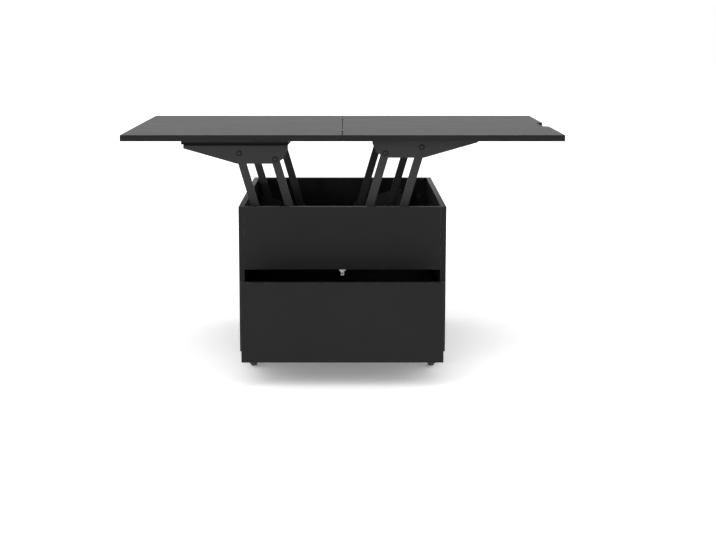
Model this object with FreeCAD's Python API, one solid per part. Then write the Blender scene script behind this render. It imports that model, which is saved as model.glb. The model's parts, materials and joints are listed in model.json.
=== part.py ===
import FreeCAD, Part
import math
import os

V = FreeCAD.Vector

# Table top, raised and opened out; millimetres, +Z up, floor at zero, front towards -Y
leaf_width = 600.0
leaf_depth = 640.0
leaf_thickness = 17.0
leaf_overhang = 16.0
seam_gap = 0.04
leaf_seat_gap = 0.5
edge_radius = 0.8

# Finger notch in the right leaf's outer edge
notch_length = 124.0
notch_depth = 20.0
notch_slant = 14.0
notch_corner_radius = 8.0

# Cabinet
caster_height = 55.0
cabinet_height = 406.0
panel_thickness = 15.0
bottom_thickness = 12.0
upper_front_height = 174.5

# Cam fittings that hold the cabinet together
cam_radius = 7.5
cam_cover = 2.4
cam_inset = 24.0
cam_bolt_radius = 3.0
cam_bolt_anchor = 10.0
floor_cam_spacing = 300.0
front_cam_shares = (0.25, 0.75)
back_cam_shares = (0.15, 0.5, 0.85)

# Screws
screw_radius = 2.0
screw_head_radius = 4.0
screw_head_height = 1.8
screw_tip_cover = 4.0
fitting_gap = 0.1

# Lift arms, brackets and bases
raised_lean = 16.3
closed_lean = 78.3
arm_width = 23.0
arm_thickness = 4.0
plate_thickness = 2.5
flange_width = 25.0
plate_corner_radius = 4.0
bend_radius = 5.0
bracket_length = 292.0
bracket_height = 54.0
bracket_tip_height = 11.0
bracket_shoulder = 143.0
bracket_nose = 34.0
bracket_nose_shares = ((0.0, 0.264), (0.353, 0.717))
inner_pivot_along = 36.0
inner_pivot_drop = 41.4
outer_pivot_along = 136.5
outer_pivot_drop = 24.2
right_bracket_seam_distance = 82.6
left_bracket_setback = 2.0
flange_screw_shares = (0.06, 0.35, 0.65, 0.94)
base_margin = 17.0
foot_screw_shares = (0.12, 0.5, 0.88)
nest_gap = 4.0

# Pivot and stop pins
pin_radius = 4.0
pin_head_radius = 8.0
pin_head_height = 1.0
pin_tail_height = 2.0
pin_dome_radius = 0.6
running_gap = 0.05
open_pivot_gap = 0.4
face_gap = 0.3
wall_clearance = 50.0
stop_height = 40.0
stop_pin_radius = 4.0
stop_margin = 9.0
press_gap = 0.02

# Support board of the left lift
support_width = 300.0
support_thickness = 20.0

# Leaf hinges
hinge_length = 60.0
hinge_spacing = 400.0
hinge_axis_lift = 0.25
knuckle_radius = 2.2
knuckle_gap = 0.3
hinge_pin_radius = 1.2
hinge_plate_thickness = 1.2
hinge_plate_cover = 3.0
hinge_screw_radius = 1.5
hinge_screw_grip = 14.0
hinge_screw_shares = (0.15, 0.5, 0.85)

# Drawer
drawer_gap = 2.0
drawer_opening = 158.0
drawer_wall = 12.0
drawer_top_room = 44.5
drawer_side_lift = 21.0
drawer_back_room = 78.0
drawer_sheet = 4.0
drawer_sheet_lift = 9.0
drawer_groove = 5.0
drawer_front_screw_shares = (0.12, 0.88)
drawer_height_shares = (0.3, 0.8)

# Drawer runners
runner_room = 12.7
runner_height = 45.0
runner_sheet = 1.5
runner_lip_room = 2.0
runner_front_setback = 6.0
runner_back_setback = 44.0
runner_screw_shares = (0.1, 0.5, 0.9)

# Push latch under the storage floor, and its strike on the drawer front
latch_width = 18.5
latch_stem_width = 8.6
latch_height = 20.5
latch_ear_height = 6.0
latch_taper = 5.5
latch_notch_width = 5.0
latch_notch_depth = 4.5
latch_length = 30.0
latch_setback = 6.0
strike_width = 4.0
strike_height = 5.0
strike_length = 22.0
strike_plate_width = 16.0
strike_plate_height = 14.0
strike_plate_thickness = 2.0
strike_gap = 0.8

# Casters
caster_inset_x = 35.0
caster_inset_y = 38.0
caster_plate_width = 40.0
caster_plate_thickness = 2.5
caster_screw_spacing = 29.0
race_radius = 13.0
race_height = 3.2
kingpin_radius = 4.0
kingpin_head_radius = 7.0
kingpin_head_height = 2.0
fork_top_radius = 15.0
fork_top_thickness = 3.0
fork_cheek = 2.0
fork_side_gap = 0.8
fork_front_reach = 9.0
fork_eye_radius = 8.0
caster_trail = 14.0
wheel_radius = 19.0
wheel_width = 17.0
tread_radius = 2.5
tread_crown = 1.0
wheel_web_width = 10.0
wheel_hub_radius = 6.5
wheel_rim_radius = 14.0
axle_radius = 3.0
axle_head_radius = 5.0
axle_head_height = 1.5
hood_gap = 2.5
hood_sheet = 1.5
hood_start = -12.0
hood_sweep = 120.0
caster_turns = {"front_left": 0.0, "front_right": 0.0, "back_left": -90.0, "back_right": 90.0}

# One overrun for cuts that pass right through, and the most that a parallel edge may slant
overrun = 5.0
slant_share = 0.001

# Cabinet levels and faces
cabinet_width = leaf_width - 2 * leaf_overhang
cabinet_depth = leaf_depth - 2 * leaf_overhang
rim_z = caster_height + cabinet_height
half_width = cabinet_width / 2
inner_x = half_width - panel_thickness
front_y = -cabinet_depth / 2
back_y = cabinet_depth / 2
wall_y = front_y + panel_thickness
deck_z = rim_z - upper_front_height
storage_z = deck_z + panel_thickness
bay_z = caster_height + bottom_thickness

# Lift geometry: the leaf travels half its own width, from raised to closed
travel = leaf_width / 2
raised = math.radians(raised_lean)
closed = math.radians(closed_lean)
arm_length = travel / (math.sin(raised) + math.sin(closed))
arm_shift = arm_length * math.sin(raised)
arm_rise = arm_length * math.cos(raised)
leaf_z = rim_z + leaf_seat_gap + arm_length * (math.cos(raised) - math.cos(closed))
top_z = leaf_z + leaf_thickness
support_top_z = leaf_z - face_gap
support_z = support_top_z - support_thickness

# Layers behind the front wall: the right lift runs next to it, the left lift inside the right one
right_plate_y = wall_y + pin_head_height + wall_clearance
left_plate_y = right_plate_y + flange_width + nest_gap
arm_offset = plate_thickness + face_gap
tail_offset = arm_offset + arm_thickness + face_gap

# Drawer levels
drawer_y = front_y - drawer_opening
drawer_front_z = bay_z + drawer_gap
drawer_front_top = deck_z - drawer_gap
drawer_half = inner_x - runner_room
drawer_box_y = drawer_y + panel_thickness
drawer_length = back_y - panel_thickness - drawer_back_room - wall_y
drawer_back_y = drawer_box_y + drawer_length
drawer_side_z = drawer_front_z + drawer_side_lift
drawer_side_height = drawer_front_top - drawer_top_room - drawer_side_z
runner_z = drawer_side_z + drawer_side_height / 2
runner_length = drawer_length - runner_front_setback - runner_back_setback
latch_y = wall_y + latch_setback
latch_mouth_z = deck_z - (latch_ear_height + latch_taper + latch_height) / 2

X = V(1, 0, 0)
Y = V(0, 1, 0)
Z = V(0, 0, 1)
ORIGIN = V(0, 0, 0)


def block(x0, x1, y0, y1, z0, z1):
    """A plain block between two corners, given in any order."""
    low = V(min(x0, x1), min(y0, y1), min(z0, z1))
    high = V(max(x0, x1), max(y0, y1), max(z0, z1))
    size = high - low
    return Part.makeBox(size.x, size.y, size.z, low)


def board(x0, x1, y0, y1, z0, z1):
    """A panel with eased edges."""
    plain = block(x0, x1, y0, y1, z0, z1)
    return plain.makeFillet(edge_radius, plain.Edges)


def rod(start, along, length, radius):
    """A round bar from a point along a direction."""
    return Part.makeCylinder(radius, length, start, along)


def prism(points, along):
    """An outline pushed along a vector."""
    return Part.Face(Part.makePolygon(points + points[:1])).extrude(along)


def joined(first, *rest):
    """Several touching solids as one."""
    return first.fuse(list(rest)).removeSplitter()


def mirrored(shape):
    """The back copy of something at the front."""
    return shape.mirror(ORIGIN, Y)


def front_and_back(shapes):
    """A list of front pieces, with their back copies."""
    return shapes + [mirrored(shape) for shape in shapes]


def along_edges(solid, direction):
    """The straight edges of a solid that run along a direction."""
    straight = [e for e in solid.Edges if isinstance(e.Curve, (Part.Line, Part.LineSegment))]
    return [e for e in straight if e.tangentAt(e.FirstParameter).cross(direction).Length < slant_share]


def screw(seat, along, grip):
    """A pan-head screw, its head on the seat and its shank in the wood."""
    head = rod(seat, along * -1, screw_head_height, screw_head_radius)
    return joined(head, rod(seat, along, grip, screw_radius))


def screw_bore(seat, along, grip):
    """The hole of one screw."""
    return rod(seat, along, grip + fitting_gap, screw_radius + fitting_gap)


class Fixing:
    """Screws of one kind of place, with the holes that they need."""

    def __init__(self, seats, along, grip):
        self.screws = [screw(seat, along, grip) for seat in seats]
        self.bores = [screw_bore(seat, along, grip) for seat in seats]


class Cam:
    """A cam lock in a panel's face, with the bolt that it draws in from the side panel."""

    def __init__(self, side, face, into, depth, middle):
        self.side = side
        outward = X * side
        centre = V(side * (inner_x - cam_inset), face.y, face.z)
        bolt_start = centre + into * middle
        length = cam_inset + cam_bolt_anchor
        bolt_bore = rod(bolt_start, outward, length + fitting_gap, cam_bolt_radius + fitting_gap)
        self.lock = rod(centre, into, depth, cam_radius).cut(bolt_bore)
        self.bolt = rod(bolt_start, outward, length, cam_bolt_radius)
        pocket = rod(centre, into, depth + fitting_gap, cam_radius + fitting_gap)
        self.bores = [pocket, bolt_bore]


def deck_cams(z, thickness):
    """Cams of a level panel, let in from below, two at each side."""
    spots = [(side, y) for side in (-1, 1) for y in (-floor_cam_spacing / 2, floor_cam_spacing / 2)]
    return [Cam(side, V(0, y, z), Z, thickness - cam_cover, thickness / 2) for side, y in spots]


def wall_cams(y, into, low, high, shares):
    """Cams of an upright panel, let in from its inner face."""
    spots = [(side, low + share * (high - low)) for side in (-1, 1) for share in shares]
    depth = panel_thickness - cam_cover
    return [Cam(side, V(0, y, z), into, depth, panel_thickness / 2) for side, z in spots]


class Lift:
    """Places of one lift: its bracket, its pivots and the layer it runs in, for the front unit."""

    def __init__(self, side, bracket_x, seat_z, plate_y):
        self.side = side
        self.bracket_x = bracket_x
        self.seat_z = seat_z
        self.plate_y = plate_y
        lean = V(side * arm_shift, 0, arm_rise)
        self.inner_top = self.on_bracket(inner_pivot_along, inner_pivot_drop)
        self.outer_top = self.on_bracket(outer_pivot_along, outer_pivot_drop)
        self.inner_base = self.inner_top - lean
        self.outer_base = self.outer_top - lean
        self.stop = self.stop_place()

    def on_bracket(self, along, drop):
        """A point of the bracket plate, from its inner end and its seat."""
        return V(self.bracket_x + self.side * along, self.plate_y, self.seat_z - drop)

    def stop_place(self):
        """Where the outer arm's outward edge meets its stop when raised."""
        reach = arm_width / 2 + stop_pin_radius + face_gap
        up = V(self.side * math.sin(raised), 0, math.cos(raised)) * stop_height
        out = V(self.side * math.cos(raised), 0, -math.sin(raised)) * reach
        return self.outer_base + up + out

    def base_ends(self):
        """The two ends of the base, across the cabinet."""
        return self.inner_base.x - self.side * base_margin, self.stop.x + self.side * stop_margin

    def flange_seats(self):
        """Screw places of the bracket's flange, on its lower face."""
        y = self.plate_y + flange_width / 2
        low = self.seat_z - plate_thickness
        length = self.side * bracket_length
        return [V(self.bracket_x + share * length, y, low) for share in flange_screw_shares]

    def foot_seats(self):
        """Screw places of the base's foot, on its upper face."""
        start, end = self.base_ends()
        y = self.plate_y + flange_width / 2
        high = storage_z + plate_thickness
        return [V(start + share * (end - start), y, high) for share in foot_screw_shares]


right_lift = Lift(1, right_bracket_seam_distance, leaf_z, right_plate_y)
left_lift = Lift(-1, -(travel - support_width / 2 + left_bracket_setback), support_z, left_plate_y)


def plate(points, y):
    """An upright sheet, its outer face at y."""
    return prism([V(x, y, z) for x, z in points], Y * plate_thickness)


def bent(sheet, flange, y, z):
    """A sheet and its flange as one piece, round on both sides of the bend."""
    piece = joined(sheet, flange)
    for depth, radius in ((0, bend_radius), (plate_thickness, bend_radius - plate_thickness)):
        level = [e for e in along_edges(piece, X)
                 if abs(abs(e.CenterOfMass.z - z) - depth) < face_gap]
        bend = [e for e in level if abs(e.CenterOfMass.y - y - depth) < face_gap]
        piece = piece.makeFillet(radius, bend)
    return piece


def bracket(lift):
    """The sheet bracket under a leaf: a tapered plate with a screwed flange."""
    nose = [(bracket_nose * a, -bracket_height * b) for a, b in bracket_nose_shares]
    outline = [(0, 0)] + nose + [(bracket_nose, -bracket_height), (bracket_shoulder, -bracket_height)]
    outline += [(bracket_length, -bracket_tip_height), (bracket_length, 0)]
    points = [(lift.bracket_x + lift.side * a, lift.seat_z + b) for a, b in outline]
    sheet = plate(points, lift.plate_y)
    tip_z = lift.seat_z - bracket_tip_height
    lower = [e for e in along_edges(sheet, Y) if e.CenterOfMass.z < tip_z - face_gap]
    sheet = sheet.makeFillet(plate_corner_radius, lower)
    flange = block(lift.bracket_x, lift.bracket_x + lift.side * bracket_length, lift.plate_y,
                   lift.plate_y + flange_width, lift.seat_z - plate_thickness, lift.seat_z)
    holes = [pin_hole(spot, press_gap, lift.plate_y) for spot in (lift.inner_top, lift.outer_top)]
    return bent(sheet, flange, lift.plate_y, lift.seat_z).cut(holes + bracket_fixing(lift).bores)


def base(lift):
    """The sheet base of a lift, standing on the storage floor."""
    start, end = lift.base_ends()
    peak = lift.stop.z + stop_margin
    points = [(start, storage_z), (start, lift.inner_base.z + base_margin)]
    points += [(end - lift.side * 2 * stop_margin, peak), (end, peak), (end, storage_z)]
    sheet = plate(points, lift.plate_y)
    upper = [e for e in along_edges(sheet, Y) if e.CenterOfMass.z > storage_z + plate_corner_radius]
    sheet = sheet.makeFillet(plate_corner_radius, upper)
    foot = block(start, end, lift.plate_y, lift.plate_y + flange_width,
                 storage_z, storage_z + plate_thickness)
    holes = [pin_hole(spot, press_gap, lift.plate_y) for spot in (lift.inner_base, lift.outer_base)]
    stop = rod(lift.stop - Y * overrun, Y, 2 * overrun + plate_thickness, stop_pin_radius + press_gap)
    return bent(sheet, foot, lift.plate_y, storage_z).cut(holes + [stop] + foot_fixing(lift).bores)


def pin_hole(spot, gap, y):
    """The hole of a pivot pin, through the plate and the arm."""
    start = V(spot.x, y - overrun, spot.z)
    return rod(start, Y, tail_offset + 2 * overrun, pin_radius + gap)


def pivot_pin(spot):
    """A riveted pivot: a flat dome outside, a shank, and a tail behind the arm."""
    head = rod(spot, Y * -1, pin_head_height, pin_head_radius)
    crown = [e for e in head.Edges if abs(e.CenterOfMass.y - spot.y) > pin_head_height / 2]
    head = head.makeFillet(pin_dome_radius, crown)
    shank = rod(spot, Y, tail_offset + pin_tail_height, pin_radius)
    tail = rod(spot + Y * tail_offset, Y, pin_tail_height, pin_head_radius)
    return joined(head, shank, tail)


def stop_pin(lift):
    """The pin that the raised outer arm leans on."""
    return rod(lift.stop, Y, tail_offset + pin_tail_height, stop_pin_radius)


def arm(foot, head, plate_y, head_gap):
    """A flat bar with round ends between two pivots."""
    y = plate_y + arm_offset
    low = V(foot.x, y, foot.z)
    high = V(head.x, y, head.z)
    line = (high - low).normalize()
    across = line.cross(Y) * (arm_width / 2)
    beyond = line * (arm_width / 2)
    edges = [Part.LineSegment(low + across, high + across).toShape(),
             Part.Arc(high + across, high + beyond, high - across).toShape(),
             Part.LineSegment(high - across, low - across).toShape(),
             Part.Arc(low - across, low - beyond, low + across).toShape()]
    bar = Part.Face(Part.Wire(edges)).extrude(Y * arm_thickness)
    return bar.cut([pin_hole(foot, running_gap, plate_y), pin_hole(head, head_gap, plate_y)])


def bracket_fixing(lift):
    """Screws of one bracket's flange, up into the board above it."""
    wood = leaf_thickness if lift.side > 0 else support_thickness
    return Fixing(lift.flange_seats(), Z, plate_thickness + wood - screw_tip_cover)


def foot_fixing(lift):
    """Screws of one base's foot, down into the storage floor."""
    return Fixing(lift.foot_seats(), Z * -1, plate_thickness + panel_thickness - screw_tip_cover)


class LeafHinge:
    """A narrow hinge let into the seam faces, with its pin just above the top surface."""

    def __init__(self, middle_y):
        self.y0 = middle_y - hinge_length / 2
        self.y1 = middle_y + hinge_length / 2
        third = hinge_length / 3
        self.spans = [(self.y0, self.y0 + third), (self.y1 - third, self.y1)]
        self.moving_span = (self.y0 + third + knuckle_gap, self.y1 - third - knuckle_gap)
        self.axis_z = top_z + hinge_axis_lift
        self.low = leaf_z + hinge_plate_cover

    def barrel(self, span, radius):
        """A round bar on the hinge axis."""
        return rod(V(0, span[0], self.axis_z), Y, span[1] - span[0], radius)

    def flap(self, side, gap):
        """The plate in one seam face, up to the axis."""
        face = side * (seam_gap / 2 - gap)
        back = side * (seam_gap / 2 + hinge_plate_thickness + gap)
        return block(face, back, self.y0 - gap, self.y1 + gap, self.low - gap, self.axis_z)

    def clear(self, span):
        """Room for one stretch of the other plate's knuckles."""
        return self.barrel((span[0] - knuckle_gap, span[1] + knuckle_gap), knuckle_radius + knuckle_gap)

    def screw_seats(self, side):
        """Where the small screws enter the plate, on the seam side."""
        x = side * seam_gap / 2
        z = (self.low + top_z - knuckle_radius) / 2
        return [V(x, self.y0 + share * hinge_length, z) for share in hinge_screw_shares]

    def screws(self, side):
        """Flush screws of one plate, into the leaf's edge."""
        seats = self.screw_seats(side)
        return [rod(seat, X * side, hinge_screw_grip, hinge_screw_radius) for seat in seats]

    def screw_bores(self, side):
        """Their holes."""
        length = hinge_screw_grip + fitting_gap
        radius = hinge_screw_radius + fitting_gap
        return [rod(seat, X * side, length, radius) for seat in self.screw_seats(side)]

    def pin(self):
        """The hinge pin."""
        return self.barrel((self.y0, self.y1), hinge_pin_radius)

    def fixed_plate(self):
        """The right leaf's plate, with its two outer knuckles."""
        knuckles = [self.barrel(span, knuckle_radius) for span in self.spans]
        bore = self.barrel((self.y0, self.y1), hinge_pin_radius + press_gap)
        flap = self.flap(1, 0).cut(self.clear(self.moving_span))
        return joined(flap, *knuckles).cut([bore] + self.screw_bores(1))

    def moving_plate(self):
        """The left leaf's plate, with its middle knuckle."""
        knuckle = self.barrel(self.moving_span, knuckle_radius)
        bore = self.barrel((self.y0, self.y1), hinge_pin_radius + running_gap)
        flap = self.flap(-1, 0).cut([self.clear(span) for span in self.spans])
        return joined(flap, knuckle).cut([bore] + self.screw_bores(-1))

    def recess(self, side):
        """What one leaf loses to the hinge."""
        room = self.clear((self.y0, self.y1))
        return [joined(self.flap(side, fitting_gap), room)] + self.screw_bores(side)


leaf_hinges = [LeafHinge(-hinge_spacing / 2), LeafHinge(hinge_spacing / 2)]


def leaf(side):
    """One half of the table top, with its hinge recesses."""
    half = leaf_depth / 2
    panel = board(side * seam_gap / 2, side * leaf_width, -half, half, leaf_z, top_z)
    return panel.cut([piece for hinge in leaf_hinges for piece in hinge.recess(side)])


def finger_notch():
    """The cut in the right leaf's edge, with slanted ends and round inner corners."""
    inner = leaf_width - notch_depth
    half = notch_length / 2
    points = [V(leaf_width + overrun, -half - notch_slant * overrun / notch_depth, leaf_z - overrun),
              V(inner, -half + notch_slant, leaf_z - overrun),
              V(inner, half - notch_slant, leaf_z - overrun),
              V(leaf_width + overrun, half + notch_slant * overrun / notch_depth, leaf_z - overrun)]
    cut = prism(points, Z * (leaf_thickness + 2 * overrun))
    corners = [e for e in along_edges(cut, Z) if e.CenterOfMass.x < leaf_width - notch_depth / 2]
    return cut.makeFillet(notch_corner_radius, corners)


def right_leaf_panel():
    """The leaf that the right lift carries."""
    bores = bracket_fixing(right_lift).bores
    return leaf(1).cut([finger_notch()] + front_and_back(bores))


def support_board():
    """The board that the opened left leaf rests on."""
    middle = -travel
    half = support_width / 2
    panel = board(middle - half, middle + half, left_plate_y, -left_plate_y, support_z, support_top_z)
    return panel.cut(front_and_back(bracket_fixing(left_lift).bores))


class Runner:
    """One drawer runner: a channel on the cabinet side, a rail on the drawer."""

    def __init__(self, side):
        self.side = side
        half = runner_length / 2
        self.channel_y = wall_y + runner_front_setback + half
        self.rail_y = self.channel_y - drawer_opening
        self.half = half
        channel_seats = self.seats(inner_x - runner_sheet, self.channel_y)
        grip = runner_sheet + panel_thickness - screw_tip_cover
        self.channel_fixing = Fixing(channel_seats, X * side, grip)
        rail_seats = self.seats(drawer_half + runner_sheet, self.rail_y)
        self.rail_fixing = Fixing(rail_seats, X * -side, runner_sheet + drawer_wall - screw_tip_cover)

    def seats(self, x, middle):
        """Screw places along the runner."""
        start = middle - self.half
        return [V(self.side * x, start + share * runner_length, runner_z) for share in runner_screw_shares]

    def trough(self, web_x, lip_x, middle, height):
        """A sheet bent into a U, open towards its lips."""
        y0 = middle - self.half
        y1 = middle + self.half
        side = self.side
        web_inside = web_x + math.copysign(runner_sheet, lip_x - web_x)
        full = block(side * web_x, side * lip_x, y0, y1, runner_z - height / 2, runner_z + height / 2)
        inside = height / 2 - runner_sheet
        over = lip_x + math.copysign(overrun, lip_x - web_x)
        hollow = block(side * web_inside, side * over, y0 - overrun, y1 + overrun,
                       runner_z - inside, runner_z + inside)
        return full.cut(hollow)

    def channel(self):
        """The cabinet's part."""
        lip_x = drawer_half + runner_lip_room
        return self.trough(inner_x, lip_x, self.channel_y, runner_height).cut(self.channel_fixing.bores)

    def rail(self):
        """The drawer's part, which slides inside the channel."""
        height = runner_height - 2 * (runner_sheet + face_gap)
        lip_x = inner_x - runner_lip_room
        return self.trough(drawer_half, lip_x, self.rail_y, height).cut(self.rail_fixing.bores)


runners = {-1: Runner(-1), 1: Runner(1)}


def drawer_front_fixing():
    """Screws from inside the drawer box into its front."""
    inside_y = drawer_box_y + drawer_wall
    low = drawer_side_z
    spots = [(x, z) for x in drawer_front_screw_shares for z in drawer_height_shares]
    seats = [V((2 * x - 1) * drawer_half, inside_y, low + z * drawer_side_height) for x, z in spots]
    return Fixing(seats, Y * -1, drawer_wall + panel_thickness - screw_tip_cover)


def drawer_side_fixing(side):
    """Screws through one drawer side into the ends of the inner front and the back."""
    ends = (drawer_box_y + drawer_wall / 2, drawer_back_y - drawer_wall / 2)
    levels = [drawer_side_z + share * drawer_side_height for share in drawer_height_shares]
    seats = [V(side * drawer_half, y, z) for y in ends for z in levels]
    return Fixing(seats, X * -side, 3 * drawer_wall)


def drawer_sheet_block(gap):
    """The drawer's thin bottom, or with a gap the groove that it slides into."""
    x = drawer_half - drawer_wall + drawer_groove + gap
    y0 = drawer_box_y + drawer_wall - drawer_groove - gap
    y1 = drawer_back_y - drawer_wall + drawer_groove + gap
    z = drawer_side_z + drawer_sheet_lift
    return block(-x, x, y0, y1, z - gap, z + drawer_sheet + gap)


def drawer_side(side):
    """A side of the drawer box."""
    high = drawer_side_z + drawer_side_height
    wall = board(side * (drawer_half - drawer_wall), side * drawer_half, drawer_box_y, drawer_back_y,
                 drawer_side_z, high)
    cuts = [drawer_sheet_block(fitting_gap)] + drawer_side_fixing(side).bores
    return wall.cut(cuts + runners[side].rail_fixing.bores)


def drawer_cross(y0, y1):
    """The inner front or the back of the drawer box."""
    x = drawer_half - drawer_wall
    wall = board(-x, x, y0, y1, drawer_side_z, drawer_side_z + drawer_side_height)
    bores = drawer_side_fixing(-1).bores + drawer_side_fixing(1).bores + drawer_front_fixing().bores
    return wall.cut([drawer_sheet_block(fitting_gap)] + bores)


def drawer_front():
    """The drawer's plain front, which has no handle."""
    x = inner_x - drawer_gap
    panel = board(-x, x, drawer_y, drawer_box_y, drawer_front_z, drawer_front_top)
    return panel.cut(drawer_front_fixing().bores)


def push_latch():
    """The latch body: two ears under the storage floor and a stem with the strike's mouth."""
    ear = latch_width / 2
    notch = latch_notch_width / 2
    stem = latch_stem_width / 2
    shoulder = deck_z - latch_ear_height
    neck = shoulder - latch_taper
    low = deck_z - latch_height
    outline = [(-ear, deck_z), (-notch, deck_z), (0, deck_z - latch_notch_depth), (notch, deck_z),
               (ear, deck_z), (ear, shoulder), (stem, neck), (stem, low), (-stem, low), (-stem, neck),
               (-ear, shoulder)]
    body = prism([V(x, latch_y, z) for x, z in outline], Y * latch_length)
    mouth_x = strike_width / 2 + strike_gap
    mouth_rise = strike_height / 2 + strike_gap
    mouth = block(-mouth_x, mouth_x, latch_y - overrun, latch_y + strike_length,
                  latch_mouth_z - mouth_rise, latch_mouth_z + mouth_rise)
    return body.makeFillet(edge_radius, along_edges(body, Y)).cut(mouth)


def latch_strike():
    """The tongue on the back of the drawer front, which the latch takes hold of."""
    foot = block(-strike_plate_width / 2, strike_plate_width / 2, drawer_box_y,
                 drawer_box_y + strike_plate_thickness,
                 latch_mouth_z - strike_plate_height / 2, latch_mouth_z + strike_plate_height / 2)
    tongue = block(-strike_width / 2, strike_width / 2, drawer_box_y, drawer_box_y + strike_length,
                   latch_mouth_z - strike_height / 2, latch_mouth_z + strike_height / 2)
    return joined(foot, tongue)


def caster_places():
    """Name and kingpin place of each caster."""
    x = half_width - caster_inset_x
    y = back_y - caster_inset_y
    return {"front_left": V(-x, -y, 0), "front_right": V(x, -y, 0),
            "back_left": V(-x, y, 0), "back_right": V(x, y, 0)}


fork_high_z = caster_height - caster_plate_thickness - race_height - face_gap
fork_low_z = fork_high_z - fork_top_thickness
cheek_in = wheel_width / 2 + fork_side_gap
cheek_out = cheek_in + fork_cheek


def caster_seats(place):
    """Screw places of one caster plate, on its lower face."""
    half = caster_screw_spacing / 2
    low = caster_height - caster_plate_thickness
    return [V(place.x + a * half, place.y + b * half, low) for a in (-1, 1) for b in (-1, 1)]


def caster_fixing():
    """Screws of all caster plates, up into the bottom panel."""
    seats = [seat for place in caster_places().values() for seat in caster_seats(place)]
    return Fixing(seats, Z, caster_plate_thickness + bottom_thickness - screw_tip_cover)


def caster_plate(place):
    """A caster's mounting plate with its race and riveted kingpin."""
    half = caster_plate_width / 2
    low = caster_height - caster_plate_thickness
    sheet = block(place.x - half, place.x + half, place.y - half, place.y + half, low, caster_height)
    sheet = sheet.makeFillet(caster_plate_thickness, along_edges(sheet, Z))
    race = rod(place + Z * low, Z * -1, race_height, race_radius)
    pin_low = fork_low_z - face_gap - kingpin_head_height
    pin = rod(place + Z * pin_low, Z, low - pin_low, kingpin_radius)
    head = rod(place + Z * pin_low, Z, kingpin_head_height, kingpin_head_radius)
    return joined(sheet, race, pin, head).cut(caster_fixing().bores)


def axle_line(place):
    """The middle of a caster's axle."""
    return V(place.x, place.y + caster_trail, wheel_radius)


def fork_cheek_plate(place, side):
    """One cheek of the fork, from its crown down to the axle eye."""
    eye = axle_line(place)
    x = place.x + side * cheek_in
    points = [V(x, place.y - fork_front_reach, fork_high_z), V(x, eye.y, fork_high_z),
              V(x, eye.y + fork_eye_radius, eye.z), V(x, eye.y - fork_eye_radius, eye.z)]
    cheek = prism(points, X * (side * fork_cheek))
    return joined(cheek, rod(V(x, eye.y, eye.z), X * side, fork_cheek, fork_eye_radius))


def fork_hood(place):
    """The hood over the wheel, a bent sheet round the axle."""
    eye = axle_line(place)
    start = V(eye.x - cheek_out, eye.y, eye.z)
    inside = wheel_radius + hood_gap
    outer = Part.makeCylinder(inside + hood_sheet, 2 * cheek_out, start, X, hood_sweep)
    hood = outer.cut(rod(start - X * overrun, X, 2 * (cheek_out + overrun), inside))
    hood.rotate(start, X, hood_start)
    return hood


def caster_fork(place):
    """The swivel fork: crown, two cheeks and the hood."""
    crown = rod(place + Z * fork_low_z, Z, fork_top_thickness, fork_top_radius)
    fork = joined(crown, fork_cheek_plate(place, -1), fork_cheek_plate(place, 1), fork_hood(place))
    eye = axle_line(place)
    axle_bore = rod(eye - X * (cheek_out + overrun), X, 2 * (cheek_out + overrun), axle_radius + press_gap)
    pin_bore = rod(place, Z, caster_height, kingpin_radius + running_gap)
    head_room = rod(place, Z, fork_low_z, kingpin_head_radius + face_gap)
    return fork.cut([axle_bore, pin_bore, head_room])


def caster_axle(place):
    """The riveted axle of one caster."""
    eye = axle_line(place)
    shank = rod(eye - X * cheek_out, X, 2 * cheek_out, axle_radius)
    ends = [(eye + X * (side * cheek_out), X * side) for side in (-1, 1)]
    return joined(shank, *[rod(end, out, axle_head_height, axle_head_radius) for end, out in ends])


def caster_wheel(place):
    """A caster wheel turned from its section, with a crowned tread."""
    half = wheel_width / 2
    web = wheel_web_width / 2
    bore = axle_radius + running_gap
    section = [(bore, half), (wheel_hub_radius, half), (wheel_hub_radius, web), (wheel_rim_radius, web),
               (wheel_rim_radius, half), (wheel_radius - tread_crown, half)]
    mirrored_section = [(r, -x) for r, x in reversed(section)]
    points = [V(x, 0, r) for r, x in mirrored_section + section]
    tread = Part.Arc(points[-1], Z * wheel_radius, points[0]).toShape()
    wheel = Part.Face(Part.Wire(Part.makePolygon(points).Edges + [tread])).revolve(ORIGIN, X, 360)
    rim = [e for e in wheel.Edges if isinstance(e.Curve, Part.Circle) and e.Curve.Radius > wheel_rim_radius]
    wheel = wheel.makeFillet(tread_radius, rim)
    wheel.translate(axle_line(place))
    return wheel


storage_cams = deck_cams(deck_z, panel_thickness)
bottom_cams = deck_cams(caster_height, bottom_thickness)
front_cams = wall_cams(wall_y, Y * -1, deck_z, rim_z, front_cam_shares)
back_cams = wall_cams(back_y - panel_thickness, Y, bay_z, rim_z, back_cam_shares)
all_cams = storage_cams + bottom_cams + front_cams + back_cams


def cam_bores(cams):
    """Every hole that a set of cams needs."""
    return [bore for cam in cams for bore in cam.bores]


def side_panel(side):
    """A full-height side of the cabinet."""
    panel = board(side * inner_x, side * half_width, front_y, back_y, caster_height, rim_z)
    cams = cam_bores([cam for cam in all_cams if cam.side == side])
    return panel.cut(cams + runners[side].channel_fixing.bores)


def upper_front_panel():
    """The fixed front of the storage bay."""
    return board(-inner_x, inner_x, front_y, wall_y, deck_z, rim_z).cut(cam_bores(front_cams))


def back_panel():
    """The back of the cabinet."""
    panel = board(-inner_x, inner_x, back_y - panel_thickness, back_y, bay_z, rim_z)
    return panel.cut(cam_bores(back_cams))


def storage_floor():
    """The floor of the storage bay, which carries the lifts."""
    panel = board(-inner_x, inner_x, wall_y, -wall_y, deck_z, storage_z)
    feet = front_and_back(foot_fixing(right_lift).bores + foot_fixing(left_lift).bores)
    return panel.cut(cam_bores(storage_cams) + feet)


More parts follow.
